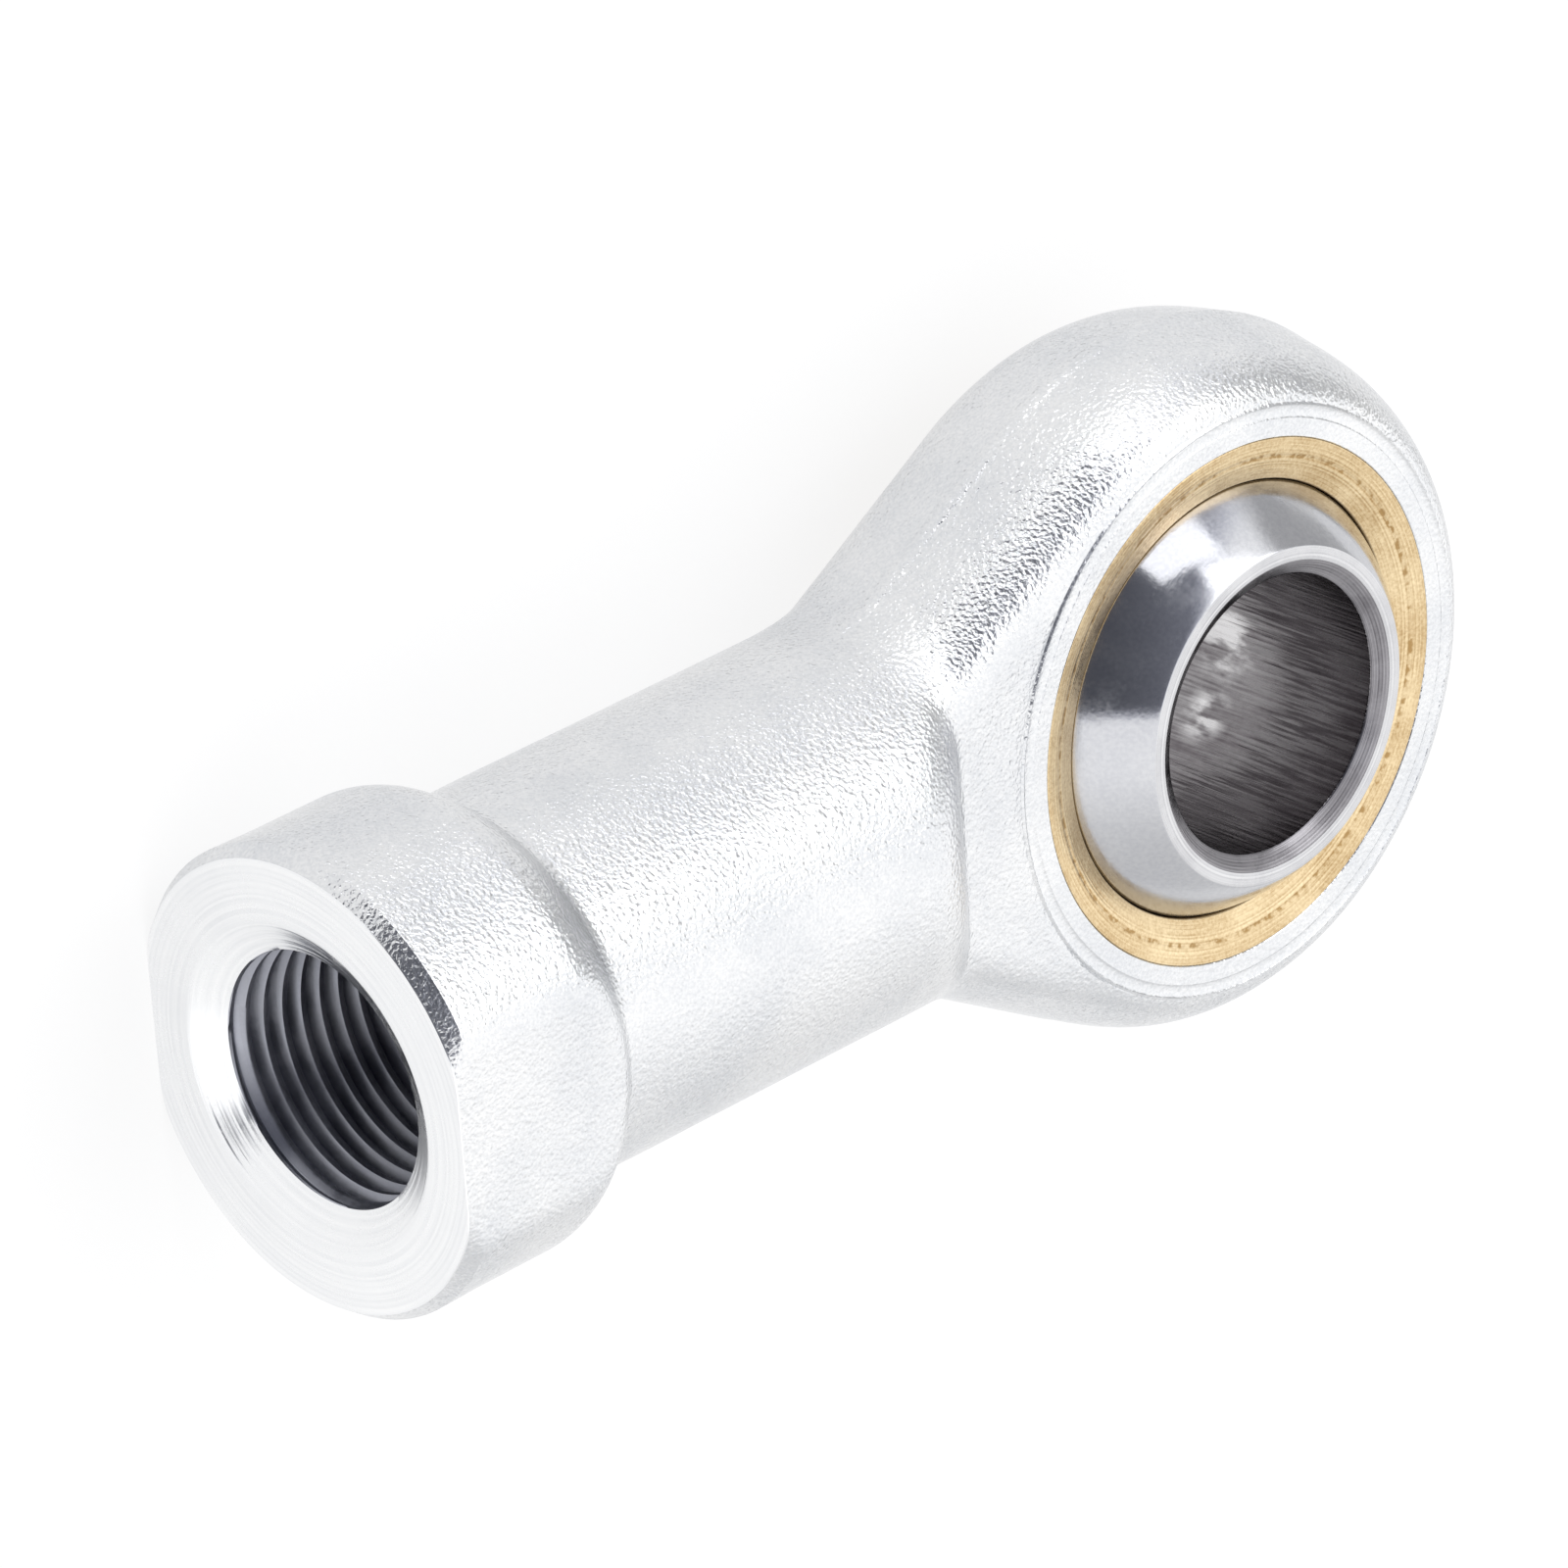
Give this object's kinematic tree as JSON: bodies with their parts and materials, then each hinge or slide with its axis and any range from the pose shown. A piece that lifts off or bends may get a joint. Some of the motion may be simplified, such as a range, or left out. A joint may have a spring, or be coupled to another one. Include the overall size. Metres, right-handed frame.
{
  "type": "female rod end bearing",
  "caption": "Rod end bearing: a forged eye holds a brass race swaged round a truncated ball with a through bore, and its shank ends in a flatted collar with an internal thread.",
  "frame": {"origin": "centre of the ball, on the axis of its bore", "axes": "+Z along the ball's bore, up; +X from the eye to the threaded end; the part lies on its side"},
  "size_m": [0.094, 0.046, 0.027],
  "materials": {
    "zinc_plated_steel": "bright zinc plate over a fine blasted forging, machined at the threaded end",
    "brass": "satin, turned and swaged",
    "polished_steel": "ground and polished bearing steel"
  },
  "bodies": {
    "body": {"rod_end_body": "zinc_plated_steel", "race": "brass"},
    "ball": {"ball": "polished_steel"}
  },
  "joints": [
    {"name": "ball_tilt", "type": "hinge", "parent": "body", "child": "ball", "pos_m": [0, 0, 0], "axis": [0, 1, 0], "range_deg": [-15, 15]}
  ]
}
